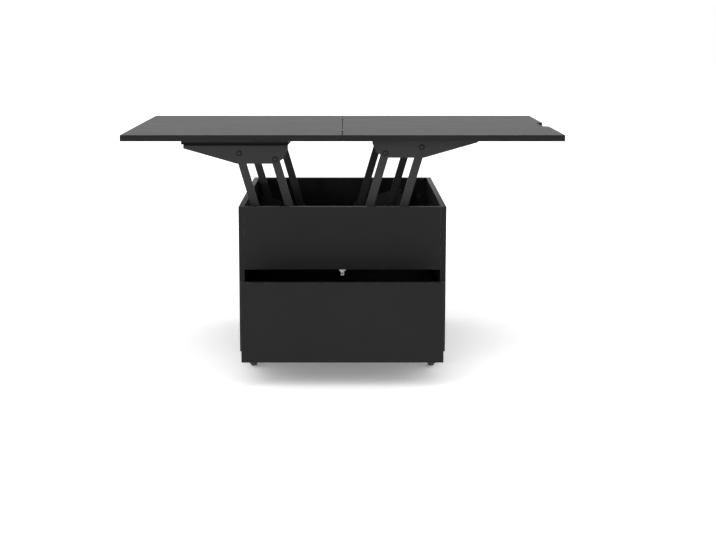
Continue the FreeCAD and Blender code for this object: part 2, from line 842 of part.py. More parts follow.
def bottom_panel():
    """The bottom of the cabinet, which carries the casters."""
    panel = board(-inner_x, inner_x, front_y, back_y, caster_height, bay_z)
    return panel.cut(cam_bores(bottom_cams) + caster_fixing().bores)


def cabinet_nodes():
    """The cabinet and everything fixed to it."""
    lifts = (right_lift, left_lift)
    pins = [pivot_pin(spot) for lift in lifts for spot in (lift.inner_base, lift.outer_base)]
    stops = [stop_pin(lift) for lift in lifts]
    feet = [s for lift in lifts for s in foot_fixing(lift).screws]
    runner_screws = [s for runner in runners.values() for s in runner.channel_fixing.screws]
    nodes = {
        "side_panel_left": side_panel(-1), "side_panel_right": side_panel(1),
        "upper_front_panel": upper_front_panel(), "back_panel": back_panel(),
        "storage_floor": storage_floor(), "bottom_panel": bottom_panel(),
        "cam_locks": [cam.lock for cam in all_cams], "cam_bolts": [cam.bolt for cam in all_cams],
        "runner_channel_left": runners[-1].channel(), "runner_channel_right": runners[1].channel(),
        "push_latch": push_latch(),
        "lift_base_pins": front_and_back(pins + stops),
        "cabinet_screws": front_and_back(feet) + runner_screws + caster_fixing().screws,
        "caster_plates": [caster_plate(place) for place in caster_places().values()],
    }
    for name, lift in (("right", right_lift), ("left", left_lift)):
        nodes[name + "_lift_base_front"] = base(lift)
        nodes[name + "_lift_base_back"] = mirrored(base(lift))
    return nodes


def lift_nodes():
    """Arms, brackets and bracket pins of both lifts."""
    nodes = {}
    for name, lift in (("right", right_lift), ("left", left_lift)):
        outer = arm(lift.outer_base, lift.outer_top, lift.plate_y, running_gap)
        inner = arm(lift.inner_base, lift.inner_top, lift.plate_y, open_pivot_gap)
        nodes[name + "_outer_arms"] = front_and_back([outer])
        nodes[name + "_inner_arms"] = front_and_back([inner])
        nodes[name + "_bracket_front"] = bracket(lift)
        nodes[name + "_bracket_back"] = mirrored(bracket(lift))
        pins = [pivot_pin(spot) for spot in (lift.inner_top, lift.outer_top)]
        nodes[name + "_bracket_pins"] = front_and_back(pins)
    return nodes


def top_nodes():
    """Both leaves, the support board, the hinges and their screws."""
    right_screws = front_and_back(bracket_fixing(right_lift).screws)
    return {
        "right_leaf_panel": right_leaf_panel(), "left_leaf_panel": leaf(-1),
        "support_board": support_board(),
        "leaf_hinge_fixed_plates": [hinge.fixed_plate() for hinge in leaf_hinges],
        "leaf_hinge_moving_plates": [hinge.moving_plate() for hinge in leaf_hinges],
        "leaf_hinge_pins": [hinge.pin() for hinge in leaf_hinges],
        "right_leaf_screws": right_screws + [s for hinge in leaf_hinges for s in hinge.screws(1)],
        "left_leaf_screws": [s for hinge in leaf_hinges for s in hinge.screws(-1)],
        "support_board_screws": front_and_back(bracket_fixing(left_lift).screws),
    }


def drawer_nodes():
    """The drawer, its rails and its strike, pulled open."""
    sides = drawer_side_fixing(-1).screws + drawer_side_fixing(1).screws
    rails = [s for runner in runners.values() for s in runner.rail_fixing.screws]
    return {
        "drawer_front": drawer_front(),
        "drawer_inner_front": drawer_cross(drawer_box_y, drawer_box_y + drawer_wall),
        "drawer_side_left": drawer_side(-1), "drawer_side_right": drawer_side(1),
        "drawer_back": drawer_cross(drawer_back_y - drawer_wall, drawer_back_y),
        "drawer_bottom": drawer_sheet_block(0),
        "drawer_rail_left": runners[-1].rail(), "drawer_rail_right": runners[1].rail(),
        "latch_strike": latch_strike(),
        "drawer_screws": drawer_front_fixing().screws + sides + rails,
    }


def caster_nodes():
    """Fork, axle and wheel of each caster, swivelled as they came to rest."""
    nodes = {}
    makers = {"caster_fork_": caster_fork, "caster_axle_": caster_axle, "caster_wheel_": caster_wheel}
    for name, place in caster_places().items():
        for piece, make in makers.items():
            shape = make(place)
            shape.rotate(place, Z, caster_turns[name])
            nodes[piece + name] = shape
    return nodes


os.makedirs("parts", exist_ok=True)
for build in (cabinet_nodes, lift_nodes, top_nodes, drawer_nodes, caster_nodes):
    for node, shape in build().items():
        solid = Part.makeCompound(shape) if isinstance(shape, list) else shape
        solid.exportStep("parts/" + node + ".step")
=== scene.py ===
# %% [markdown]
# # A coffee table that opens into a dining table
# The table is a black cabinet on casters. Two lifts inside it carry the top up and outwards, and the top unfolds
# to twice its width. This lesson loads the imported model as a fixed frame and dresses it: finishes for the
# boards, the sheet steel and the fittings, and finer pieces where a plain solid would give itself away.
# The boards could be modelled again in Blender, but their shapes are already right, so only their look is made here.

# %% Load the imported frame
import json
import math
import bpy
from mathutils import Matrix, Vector


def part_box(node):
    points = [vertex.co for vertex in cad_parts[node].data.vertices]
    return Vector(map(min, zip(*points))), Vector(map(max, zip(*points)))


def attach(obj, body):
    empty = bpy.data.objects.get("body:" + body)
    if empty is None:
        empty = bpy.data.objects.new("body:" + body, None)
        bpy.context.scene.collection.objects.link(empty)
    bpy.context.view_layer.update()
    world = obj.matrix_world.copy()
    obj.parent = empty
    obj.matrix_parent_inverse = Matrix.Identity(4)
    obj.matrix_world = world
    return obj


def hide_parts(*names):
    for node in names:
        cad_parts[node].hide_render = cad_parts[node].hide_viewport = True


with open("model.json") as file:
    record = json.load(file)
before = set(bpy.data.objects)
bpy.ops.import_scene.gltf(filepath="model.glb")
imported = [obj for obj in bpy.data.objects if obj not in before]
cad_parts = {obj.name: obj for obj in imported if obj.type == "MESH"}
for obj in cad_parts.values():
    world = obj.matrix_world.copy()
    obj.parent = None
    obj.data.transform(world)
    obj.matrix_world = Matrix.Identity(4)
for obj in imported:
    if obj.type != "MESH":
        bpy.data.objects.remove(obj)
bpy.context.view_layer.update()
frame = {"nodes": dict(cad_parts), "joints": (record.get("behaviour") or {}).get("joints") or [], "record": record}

nodes = frame["nodes"]
body_of = {node: body for body, members in frame["record"]["behaviour"]["bodies"].items() for node in members}

# %% [markdown]
# ## The camera
# The picture was taken a little above the table top with a long lens, and the uprights stay upright in it, as
# with a lens that is shifted down. A pure shift would cut the table off in other views, so most of the drop is
# made by tilting the camera by eight degrees, and only a small shift is left. The camera stands two millimetres off
# the middle, because from the middle it would look straight through the hairline gap between the leaves.

# %% Set up the camera
camera_pitch = 0.1387
lens = bpy.data.cameras.new("camera")
lens.sensor_width = 36.0
lens.lens = 60.92
lens.shift_x = 0.0207
lens.shift_y = -0.12
camera = bpy.data.objects.new("camera", lens)
camera.location = (0.002, -3.568, 0.9792)
camera.rotation_euler = (math.pi / 2 - camera_pitch, 0.0, 0.0)
bpy.context.scene.collection.objects.link(camera)
bpy.context.scene.camera = camera
print("camera at", tuple(camera.location), "lens", lens.lens)

# %% [markdown]
# ## Shader formulas
# A finish is a formula over the surface: how far a point lies from an edge, how a grain varies, where dust
# gathers. Such formulas can be wired by hand in the node editor, but they read better as Python. One small class
# wraps a socket, so that adding or multiplying two of them adds the Math node, and one method makes any other node.

# %% A socket that takes part in formulas
class Signal:
    """A node's output, in formulas that add Math nodes."""

    def __init__(self, sheet, socket):
        self.sheet = sheet
        self.socket = socket

    def __add__(self, other):
        return self.sheet.maths("ADD", self, other)

    __radd__ = __add__

    def __sub__(self, other):
        return self.sheet.maths("SUBTRACT", self, other)

    def __rsub__(self, other):
        return self.sheet.maths("SUBTRACT", other, self)

    def __mul__(self, other):
        return self.sheet.maths("MULTIPLY", self, other)

    __rmul__ = __mul__

    def size(self):
        return self.sheet.maths("ABSOLUTE", self)

    def least(self, other):
        return self.sheet.maths("MINIMUM", self, other)

    def most(self, other):
        return self.sheet.maths("MAXIMUM", self, other)

    def rise(self, start, end):
        """A smooth step from 0 at start to 1 at end."""
        sockets = {"Value": self, "From Min": start, "From Max": end}
        return self.sheet.node("ShaderNodeMapRange", {"interpolation_type": "SMOOTHSTEP"}, sockets)


class Sheet:
    """One node tree, of a material or of the world."""

    def __init__(self, tree):
        self.tree = tree
        tree.nodes.clear()

    def node(self, kind, settings, sockets, output=0):
        """Adds a node: its settings first, then the values or links of its sockets."""
        made = self.tree.nodes.new(kind)
        for name, value in settings.items():
            setattr(made, name, value)
        for name, value in sockets.items():
            if isinstance(value, Signal):
                self.tree.links.new(value.socket, made.inputs[name])
            else:
                made.inputs[name].default_value = value
        return Signal(self, made.outputs[output]) if len(made.outputs) else None

    def maths(self, operation, first, second=0.0):
        return self.node("ShaderNodeMath", {"operation": operation}, {0: first, 1: second})

    def blend(self, share, first, second):
        """One colour passing into another; 6, 7 and 2 are the Mix node's colour sockets."""
        return self.node("ShaderNodeMix", {"data_type": "RGBA"}, {0: share, 6: first, 7: second}, 2)

    def seen(self):
        """1 for rays of the camera, of reflections and of glass, and 0 for rays that only carry light."""
        path = self.node("ShaderNodeLightPath", {}, {}).socket.node
        camera, glossy, glass = [Signal(self, path.outputs["Is %s Ray" % kind])
                                 for kind in ("Camera", "Glossy", "Transmission")]
        return camera.most(glossy).most(glass)

    def place(self):
        """Where a point is, in the table's own frame."""
        return self.node("ShaderNodeTexCoord", {}, {}, "Object")

    def parts(self, vector):
        """A vector's three numbers."""
        split = self.node("ShaderNodeSeparateXYZ", {}, {"Vector": vector})
        return [Signal(self, socket) for socket in split.socket.node.outputs]

    def stretched(self, vector, scale):
        """Coordinates scaled by a different number each way."""
        return self.node("ShaderNodeMapping", {}, {"Vector": vector, "Scale": scale})

    def noise(self, vector, scale, detail=2.0, rough=0.5, warp=0.0):
        sockets = {"Vector": vector, "Scale": scale, "Detail": detail, "Roughness": rough, "Distortion": warp}
        return self.node("ShaderNodeTexNoise", {}, sockets)

    def bump(self, height, strength, distance):
        sockets = {"Height": height, "Strength": strength, "Distance": distance}
        return self.node("ShaderNodeBump", {}, sockets)

    def surface(self, sockets, painted_shade=None):
        """Ends a material in one Principled shader, mixed into a painted shadow where a painted shade is given."""
        shader = self.node("ShaderNodeBsdfPrincipled", {}, sockets)
        if painted_shade:
            # painted shadow: a dark diffuse mixed in by the painted shade mask, standing for shadow where it falls
            painted_shadow = self.node("ShaderNodeBsdfDiffuse", {}, {"Color": grey(0.008)})
            shader = self.node("ShaderNodeMixShader", {}, {0: painted_shade, 1: shader, 2: painted_shadow})
        self.node("ShaderNodeOutputMaterial", {}, {"Surface": shader})


def new_finish(name):
    """An empty material and its sheet."""
    material = bpy.data.materials.new(name)
    material.use_nodes = True
    return material, Sheet(material.node_tree)


def grey(level, warmth=0.0):
    """A neutral colour, or one a little warmer."""
    return (level * (1 + warmth), level, level * (1 - warmth), 1.0)


print("shader formulas ready")

# %% [markdown]
# ## Floor and light
# The table stands on a white studio sweep. A backdrop mesh would do, but a plain floor and a white world meet
# without a line and stay out of the way in every other view. The camera and reflections see the floor a little
# brighter than it lights the table, so it fades into the white around it. A wide lamp overhead gives the shadow, and
# a low fill from the front left reaches into the drawer's opening.

# %% Lay the floor
bpy.ops.object.select_all(action="DESELECT")
bpy.ops.mesh.primitive_plane_add(size=40.0, location=(0.0, 0.0, -0.0004))
floor = bpy.context.object
floor.name = "studio_floor"
floor_finish, sheet = new_finish("studio_floor")
speckle = sheet.noise(sheet.place(), 3.0)
paper = sheet.blend(speckle, grey(0.86), grey(0.88))
seen = sheet.seen()
sheet.surface({"Base Color": sheet.blend(seen, paper, grey(1.08)), "Roughness": 0.9, "Specular IOR Level": 0.1,
               "Emission Color": sheet.blend(seen, grey(0.0), grey(0.16)), "Emission Strength": 1.0})
floor.data.materials.append(floor_finish)
print("floor", floor.name)

# %% Light the studio
world = bpy.data.worlds.new("studio")
bpy.context.scene.world = world
world.use_nodes = True
sheet = Sheet(world.node_tree)
studio = sheet.node("ShaderNodeBackground", {}, {"Color": grey(1.0), "Strength": 1.0})
sheet.node("ShaderNodeOutputWorld", {}, {"Surface": studio})


def softbox(name, energy, spread, turn):
    """A wide lamp far away, turned by angles in degrees."""
    sun = bpy.data.lights.new(name, "SUN")
    sun.energy = energy
    sun.angle = math.radians(spread)
    lamp = bpy.data.objects.new(name, sun)
    lamp.rotation_euler = [math.radians(angle) for angle in turn]
    bpy.context.scene.collection.objects.link(lamp)
    print("lamp:", lamp.name, energy)


softbox("overhead_softbox", 0.7, 50, (36, -10, 0))
softbox("low_fill", 0.8, 12, (82.5, 0, -44))
bpy.context.scene.view_settings.view_transform = "Standard"

# %% [markdown]
# ## Black laminate
# The boards are particle board faced with a matt black melamine film and closed with a glued edge band. Up close
# the film has a fine pearl texture, a faint cloudiness from handling, and the arrises are rubbed a little paler.
# A single material on all boards could not know where a board's edges are, so each board gets its own copy, with
# the distance to the nearest edge worked out from that board's box. The two leaves meet at a tight seam, which shows
# as a thin dark line, so their boxes are stretched over it and the shadow in the seam is painted on as a shade of
# its own. A painted shade also darkens the lower rim of the support board, which lies in the shadow above the
# rounded bend of its brackets.

# %% Finish the boards
def edge_distance(sheet, where, low, high):
    """How far a point on a board's surface lies from the nearest edge of the board."""
    depths = []
    for number, first, last in zip(sheet.parts(where), low, high):
        depths.append((last - first) / 2 - (number - (first + last) / 2).size())
    a, b, c = depths
    return a.least(b).most(b.least(c)).most(a.least(c))


leaf_panels = ["right_leaf_panel", "left_leaf_panel"]
seam_reach = 0.05


def board_box(node):
    """A board's box; a leaf's box is stretched over the seam."""
    low, high = [list(corner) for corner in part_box(node)]
    if node in leaf_panels:
        low[0] = min(low[0], -seam_reach)
        high[0] = max(high[0], seam_reach)
    return low, high


def laminate(node):
    """Matt black melamine on one board, with its edge band and rubbed arrises."""
    low, high = board_box(node)
    material, sheet = new_finish("laminate_" + node)
    where = sheet.place()
    inset = edge_distance(sheet, where, low, high)
    cloud = sheet.noise(where, 5.0, 3.0, 0.55, 0.4)
    pearl = sheet.noise(where, 1500.0, 2.0, 0.6)
    smear = sheet.noise(sheet.stretched(where, (9.0, 26.0, 15.0)), 1.0, 4.0, 0.6, 0.8)
    rub = (1 - inset.rise(0.0003, 0.0016)) * sheet.noise(where, 60.0, 3.0).rise(0.35, 0.7)
    band = 1 - (inset - 0.0022).size().rise(0.0, 0.0003)
    base = sheet.blend(cloud, grey(0.0075), grey(0.0105))
    base = sheet.blend(0.35 * band, base, grey(0.006))
    base = sheet.blend(0.6 * rub, base, grey(0.05))
    rough = 0.35 + 0.10 * smear + 0.05 * pearl - 0.06 * rub
    relief = pearl - 0.6 * band
    painted_shade = None
    if node in leaf_panels:
        across, _, height = sheet.parts(where)
        # painted shade: a thin dark line along the leaves' top arrises at the seam, standing for the shadow in the
        # gap
        painted_shade = across.size().rise(0.0012, 0.0005) * height.rise(high[2] - 0.0009, high[2] - 0.0006)
    if node == "support_board":
        height = sheet.parts(where)[2] - low[2]
        # painted shade: the lowest four millimetres of the support board's edges darkened as the shadow above the
        # brackets' bend
        painted_shade = height.rise(0.0042, 0.0028) * height.rise(0.0001, 0.0004)
    sheet.surface({"Base Color": base, "Roughness": rough, "Normal": sheet.bump(relief, 0.18, 0.0003),
                   "Specular IOR Level": 0.14}, painted_shade)
    return material


def dress(node, material):
    """Gives a CAD node a finish."""
    for slot in nodes[node].material_slots:
        slot.material = material


boards = ["side_panel_left", "side_panel_right", "upper_front_panel", "back_panel", "storage_floor",
          "bottom_panel", "right_leaf_panel", "left_leaf_panel", "support_board", "drawer_front",
          "drawer_inner_front", "drawer_side_left", "drawer_side_right", "drawer_back"]
for board in boards:
    dress(board, laminate(board))
print("boards dressed:", len(boards))

# %% [markdown]
# ## Hardboard
# The drawer's bottom is a thin sheet of black-coated hardboard. Its fibres lie in the plane of the sheet, so the
# noise is stretched along both of its sides and the coat is duller than the laminate.

# %% Finish the drawer's bottom
hardboard, sheet = new_finish("black_hardboard")
where = sheet.place()
fibre = sheet.noise(sheet.stretched(where, (240.0, 90.0, 600.0)), 1.0, 4.0, 0.65, 0.6)
dust = sheet.noise(where, 11.0, 3.0).rise(0.45, 0.8)
base = sheet.blend(fibre, grey(0.013), grey(0.024))
base = sheet.blend(0.25 * dust, base, grey(0.06, 0.05))
sheet.surface({"Base Color": base, "Roughness": 0.58 + 0.14 * fibre,
               "Normal": sheet.bump(fibre, 0.2, 0.0003), "Specular IOR Level": 0.25})
dress("drawer_bottom", hardboard)
print("finish:", hardboard.name)

# %% [markdown]
# ## Powder-coated steel
# Arms, brackets, bases, runners and hinges are sheet steel with a black powder coat, a little paler and glossier
# than the boards. Powder melts into a skin with a slight orange peel, so a soft noise of about two millimetres
# makes the relief, and a finer one breaks up the shine.

# %% Finish the sheet steel
powder_coat, sheet = new_finish("powder_coat")
where = sheet.place()
peel = sheet.noise(where, 420.0, 2.0, 0.45)
grit = sheet.noise(where, 2200.0, 1.0)
haze = sheet.noise(where, 8.0, 3.0, 0.6, 0.5)
base = sheet.blend(haze, grey(0.024), grey(0.034))
sheet.surface({"Base Color": base, "Roughness": 0.36 + 0.10 * haze + 0.06 * grit,
               "Normal": sheet.bump(peel + 0.2 * grit, 0.22, 0.0004), "Specular IOR Level": 0.20})
steel_nodes = ["right_lift_base_front", "right_lift_base_back", "left_lift_base_front", "left_lift_base_back",
               "right_outer_arms", "right_inner_arms", "left_outer_arms", "left_inner_arms",
               "right_bracket_front", "right_bracket_back", "left_bracket_front", "left_bracket_back",
               "runner_channel_left", "runner_channel_right", "drawer_rail_left", "drawer_rail_right",
               "leaf_hinge_fixed_plates", "leaf_hinge_moving_plates", "leaf_hinge_pins"]
for node in steel_nodes:
    dress(node, powder_coat)
print("steel nodes:", len(steel_nodes))

# %% [markdown]
# ## Zinc, nylon and moulded plastic
# The small fittings come in three finishes: bright zinc plate on screws, cams and caster plates, white nylon on
# the latch, and black moulded plastic on the caster forks. Zinc shows fine drawing marks and cloudy passivation,
# nylon is smooth with a hint of mould texture, and the plastic is finely eroded.

# %% Finish the fittings
zinc, sheet = new_finish("zinc_plate")
where = sheet.place()
drawn = sheet.noise(sheet.stretched(where, (900.0, 900.0, 5200.0)), 1.0, 3.0, 0.6)
cloud = sheet.noise(where, 160.0, 3.0, 0.6)
base = sheet.blend(cloud, (0.46, 0.47, 0.48, 1.0), (0.60, 0.59, 0.55, 1.0))
sheet.surface({"Base Color": base, "Metallic": 1.0, "Roughness": 0.26 + 0.16 * drawn + 0.08 * cloud,
               "Normal": sheet.bump(drawn, 0.12, 0.0002)})

nylon, sheet = new_finish("white_nylon")
where = sheet.place()
mould = sheet.noise(where, 1600.0, 2.0)
tint = sheet.noise(where, 70.0, 2.0)
sheet.surface({"Base Color": sheet.blend(tint, grey(0.86, 0.02), grey(0.92, 0.01)),
               "Roughness": 0.40 + 0.12 * mould, "Normal": sheet.bump(mould, 0.12, 0.0002)})

moulded, sheet = new_finish("moulded_plastic")
where = sheet.place()
erosion = sheet.noise(where, 1300.0, 3.0, 0.6)
scuff = sheet.noise(where, 45.0, 4.0, 0.6).rise(0.5, 0.85)
base = sheet.blend(scuff, grey(0.012), grey(0.032))
sheet.surface({"Base Color": base, "Roughness": 0.46 + 0.12 * erosion + 0.08 * scuff,
               "Normal": sheet.bump(erosion, 0.2, 0.0003)})

corners = ["front_left", "front_right", "back_left", "back_right"]
for node in ["cam_bolts", "caster_plates"] + ["caster_axle_" + corner for corner in corners]:
    dress(node, zinc)
for node in ["push_latch", "latch_strike"]:
    dress(node, nylon)
for corner in corners:
    dress("caster_fork_" + corner, moulded)
print("finishes:", zinc.name, nylon.name, moulded.name)

# %% [markdown]
# ## Finding the small parts
# Rivets, screws and cams come as groups, one node for many solids. Their places could be typed in again, but the
# model already holds them: a copy of a node is merged and parted into its loose solids, each solid's box gives its
# axis, and the finer piece is set on that axis. The node itself is never touched.

# %% Read the places of a group of small parts
def select_only(*pieces):
    """Selects these objects alone; the first one becomes active."""
    bpy.ops.object.select_all(action="DESELECT")
    for piece in pieces:
        piece.select_set(True)
    bpy.context.view_layer.objects.active = pieces[0]


def loose_solids(node):
    """The corner points of every solid in a node, from a merged copy."""
    copy = nodes[node].copy()
    copy.data = nodes[node].data.copy()
    bpy.context.scene.collection.objects.link(copy)
    select_only(copy)
    bpy.ops.object.mode_set(mode="EDIT")
    bpy.ops.mesh.select_all(action="SELECT")
    bpy.ops.mesh.remove_doubles(threshold=1e-6)
    bpy.ops.mesh.separate(type="LOOSE")
    bpy.ops.object.mode_set(mode="OBJECT")
    pieces = list(bpy.context.selected_objects)
    points = [[Vector(corner.co) for corner in piece.data.vertices] for piece in pieces]
    bpy.ops.object.delete()
    return points


class Seat:
    """A small round part: its middle, its axis, its length and how wide it is at both ends."""

    def __init__(self, points):
        low = Vector(min(p[i] for p in points) for i in range(3))
        high = Vector(max(p[i] for p in points) for i in range(3))
        sizes = high - low
        usual = sorted(sizes)[1]
        self.way = max(range(3), key=lambda i: abs(sizes[i] - usual))
        self.middle = (low + high) / 2
        self.length = sizes[self.way]
        self.axis = Vector(1.0 if i == self.way else 0.0 for i in range(3))
        self.low_radius = self.end_radius(points, low[self.way])
        self.high_radius = self.end_radius(points, high[self.way])

    def end_radius(self, points, level):
        """How far the end face reaches from the axis."""
        ring = [p - self.middle for p in points if abs(p[self.way] - level) < 1e-4]
        return max((r - self.axis * r.dot(self.axis)).length for r in ring)

    def end(self, direction):
        """The middle of the end face on one side."""
        return self.middle + direction * (self.length / 2)


print("bracket pins:", len(loose_solids("right_bracket_pins")))

# %% [markdown]
# ## Turned parts
# A rivet, a screw or a wheel is round, so each is made as on a lathe: a disc is extruded upwards ring by ring and
# every ring is scaled to the radius of the profile. Spin could sweep the profile instead, but stepping up a disc
# leaves clean caps and no seam to merge.

# %% Turn a piece from its profile
def turned(name, profile, segments):
    """A round solid along Z from (radius, height) pairs, bottom to top."""
    radius, height = profile[0]
    bpy.ops.object.select_all(action="DESELECT")
    bpy.ops.mesh.primitive_circle_add(vertices=segments, radius=radius, fill_type="NGON", location=(0, 0, height))
    piece = bpy.context.object
    piece.name = name
    bpy.ops.object.transform_apply(location=True, rotation=True, scale=True)
    bpy.ops.object.mode_set(mode="EDIT")
    bpy.ops.mesh.select_mode(type="FACE")
    bpy.ops.mesh.select_all(action="SELECT")
    for next_radius, next_height in profile[1:]:
        bpy.ops.mesh.extrude_region_move(TRANSFORM_OT_translate={"value": (0, 0, next_height - height)})
        share = next_radius / radius
        bpy.ops.transform.resize(value=(share, share, 1.0))
        radius, height = next_radius, next_height
    bpy.ops.mesh.select_all(action="SELECT")
    bpy.ops.mesh.normals_make_consistent(inside=False)
    bpy.ops.object.mode_set(mode="OBJECT")
    return piece


mm = 0.001


def metres(profile):
    """A profile drawn in millimetres."""
    return [(radius * mm, height * mm) for radius, height in profile]


print("lathe ready, profiles in millimetres")

# %% [markdown]
# ## Pieces with a bore
# A washer or a wheel has a hole through it. It could be turned solid and bored with a Boolean, but it is simpler to
# extrude an open ring all the way round a closed profile and to merge the last ring with the first.

# %% Turn a piece with a bore
def ring_turned(name, profile, segments):
    """A round piece with a bore: an open ring is extruded along a closed profile and joined to its start."""
    radius, height = profile[0]
    bpy.ops.object.select_all(action="DESELECT")
    bpy.ops.mesh.primitive_circle_add(vertices=segments, radius=radius, fill_type="NOTHING", location=(0, 0, height))
    piece = bpy.context.object
    piece.name = name
    bpy.ops.object.transform_apply(location=True, rotation=True, scale=True)
    bpy.ops.object.mode_set(mode="EDIT")
    bpy.ops.mesh.select_mode(type="EDGE")
    bpy.ops.mesh.select_all(action="SELECT")
    for next_radius, next_height in profile[1:] + profile[:1]:
        bpy.ops.mesh.extrude_region_move(TRANSFORM_OT_translate={"value": (0, 0, next_height - height)})
        share = next_radius / radius
        bpy.ops.transform.resize(value=(share, share, 1.0))
        radius, height = next_radius, next_height
    bpy.ops.mesh.select_all(action="SELECT")
    bpy.ops.mesh.remove_doubles(threshold=1e-6)
    bpy.ops.mesh.normals_make_consistent(inside=False)
    bpy.ops.object.mode_set(mode="OBJECT")
    return piece


print("lathe ready for bored pieces")

# %% [markdown]
# ## Easing, copying and handing over
# Turned edges are never knife sharp, so a narrow bevel rounds the rings that meet at a steep angle. A pattern piece
# is then copied to every seat, the copies are joined, and the joined piece is given to the body that it moves with.
# Linked copies would be lighter, but each copy is turned to its own seat, so each has its own mesh.

# %% Ease a piece and copy it to a seat
def eased(piece, width):
    """Rounds the sharp rings and smooths the rest."""
    select_only(piece)
    bevel = piece.modifiers.new("eased", "BEVEL")
    bevel.width = width
    bevel.segments = 2
    bevel.limit_method = "ANGLE"
    bevel.angle_limit = math.radians(40)
    bpy.ops.object.modifier_apply(modifier=bevel.name)
    bpy.ops.object.shade_smooth_by_angle(angle=math.radians(40))
    return piece


def set_at(master, where, outward):
    """A copy of a turned piece with its own mesh, its +Z turned outward."""
    copy = master.copy()
    copy.data = master.data.copy()
    bpy.context.scene.collection.objects.link(copy)
    copy.rotation_euler = Vector((0, 0, 1)).rotation_difference(outward).to_euler()
    copy.location = where
    select_only(copy)
    bpy.ops.object.transform_apply(location=True, rotation=True, scale=True)
    return copy


def drop(master):
    """Takes away a pattern piece once its copies are made."""
    bpy.data.objects.remove(master)


print("pieces can be eased, copied and dropped")

# %% Hand a piece to its body
def fitted(name, body, copies, material):
    """Joins copies into one piece that rides on a body."""
    select_only(*copies)
    if len(copies) > 1:
        bpy.ops.object.join()
    piece = bpy.context.object
    piece.name = name
    piece.data.materials.clear()
    piece.data.materials.append(material)
    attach(piece, body)
    print(piece.name, "copies:", len(copies), "faces:", len(piece.data.polygons))
    return piece


def stand_for(node, copies, material):
    """The same, in the place of a node."""
    piece = fitted("detail_" + node, body_of[node], copies, material)
    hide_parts(node)


# %% [markdown]
# ## Pivot rivets
# The arms turn on stepped rivets with a low domed head outside and a peened tail behind the arm. A dark plastic
# washer lies around each head; its near-black colour is a painted shade that stands for the shadowed gap round the
# head, so every pivot reads as a ring on the bracket. The washer could be painted on, but a real ring with its own
# edge holds up close to the camera.

# %% Turn the rivets, the washers and the stop pins
rivet_length = 10.1 * mm
rivet_profile = [(5.0, -10.1), (7.6, -9.9), (8.0, -9.3), (8.0, -8.1), (4.0, -8.1), (4.0, -1.0), (5.0, -1.0),
                 (5.0, -0.5), (4.7, -0.15), (3.9, 0.0), (1.5, 0.0), (0.9, -0.3), (0.3, -0.3)]
stop_profile = [(2.6, -9.1), (3.6, -8.9), (4.0, -8.4), (4.0, -0.4), (3.6, 0.0), (1.6, 0.0), (1.2, -0.25),
                (0.3, -0.25)]
washer_profile = [(8.0, -1.0), (8.0, -0.65), (7.8, -0.5), (5.2, -0.5), (5.2, -1.0)]
rivet = eased(turned("rivet", metres(rivet_profile), 40), 0.06 * mm)
stop = eased(turned("stop", metres(stop_profile), 32), 0.06 * mm)
washer = eased(ring_turned("washer", metres(washer_profile), 40), 0.05 * mm)
print("rivet faces:", len(rivet.data.polygons), "washer faces:", len(washer.data.polygons))

# %% Finish and set the rivets
# painted shade: the washers' near-black colour stands for the shadowed gap round each rivet head
washer_painted_shade, sheet = new_finish("washer_painted_shade")
grain = sheet.noise(sheet.place(), 1100.0, 2.0)
sheet.surface({"Base Color": sheet.blend(grain, grey(0.006), grey(0.009)), "Roughness": 0.62 + 0.14 * grain,
               "Specular IOR Level": 0.12})
for node in ["right_bracket_pins", "left_bracket_pins", "lift_base_pins"]:
    pins = []
    washers = []
    for points in loose_solids(node):
        seat = Seat(points)
        outward = Vector((0, math.copysign(1.0, seat.middle.y), 0))
        if seat.length > rivet_length - 0.5 * mm:
            pins.append(set_at(rivet, seat.end(outward), outward))
            washers.append(set_at(washer, seat.end(outward), outward))
        else:
            pins.append(set_at(stop, seat.end(outward), outward))
    stand_for(node, pins, powder_coat)
    fitted(node.replace("pins", "washers"), body_of[node], washers, washer_painted_shade)
for pattern in (rivet, stop, washer):
    drop(pattern)

# %% [markdown]
# ## Screws
# Pan-head screws with a cross recess hold brackets, bases, runners, drawer and casters. The head is turned, and
# the recess is cut by a cross of two tapered bars with a Boolean. The lengths differ, so a screw is modelled for
# each length and copied to its seats.

# %% Cut a cross recess
def cross_cutter(width, reach, depth):
    """A cross that tapers downwards, its top face at zero."""
    bars = []
    for turn in (0.0, math.pi / 2):
        bpy.ops.object.select_all(action="DESELECT")
        bpy.ops.mesh.primitive_cube_add(size=1.0, location=(0, 0, 0))
        bar = bpy.context.object
        bar.scale = (reach * 2, width, depth * 2)
        bar.rotation_euler = (0, 0, turn)
        bpy.ops.object.transform_apply(location=True, rotation=True, scale=True)
        bpy.ops.object.mode_set(mode="EDIT")
        bpy.ops.mesh.select_mode(type="FACE")
        bpy.ops.mesh.select_all(action="DESELECT")
        bpy.ops.object.mode_set(mode="OBJECT")
        for face in bar.data.polygons:
            face.select = face.normal.z < -0.5
        bpy.ops.object.mode_set(mode="EDIT")
        bpy.ops.transform.resize(value=(0.55, 0.55, 1.0))
        bpy.ops.object.mode_set(mode="OBJECT")
        bars.append(bar)
    return bars


def cut_cross(piece, top, width, reach, depth):
    """Cuts the cross recess into a head whose face is at a height."""
    for bar in cross_cutter(width, reach, depth):
        bar.location.z = top
        select_only(piece)
        cut = piece.modifiers.new("recess", "BOOLEAN")
        cut.operation = "DIFFERENCE"
        cut.object = bar
        bpy.ops.object.modifier_apply(modifier=cut.name)
        bpy.data.objects.remove(bar)
    select_only(piece)
    bpy.ops.object.shade_smooth_by_angle(angle=math.radians(35))
    return piece


print("recess cutter ready")

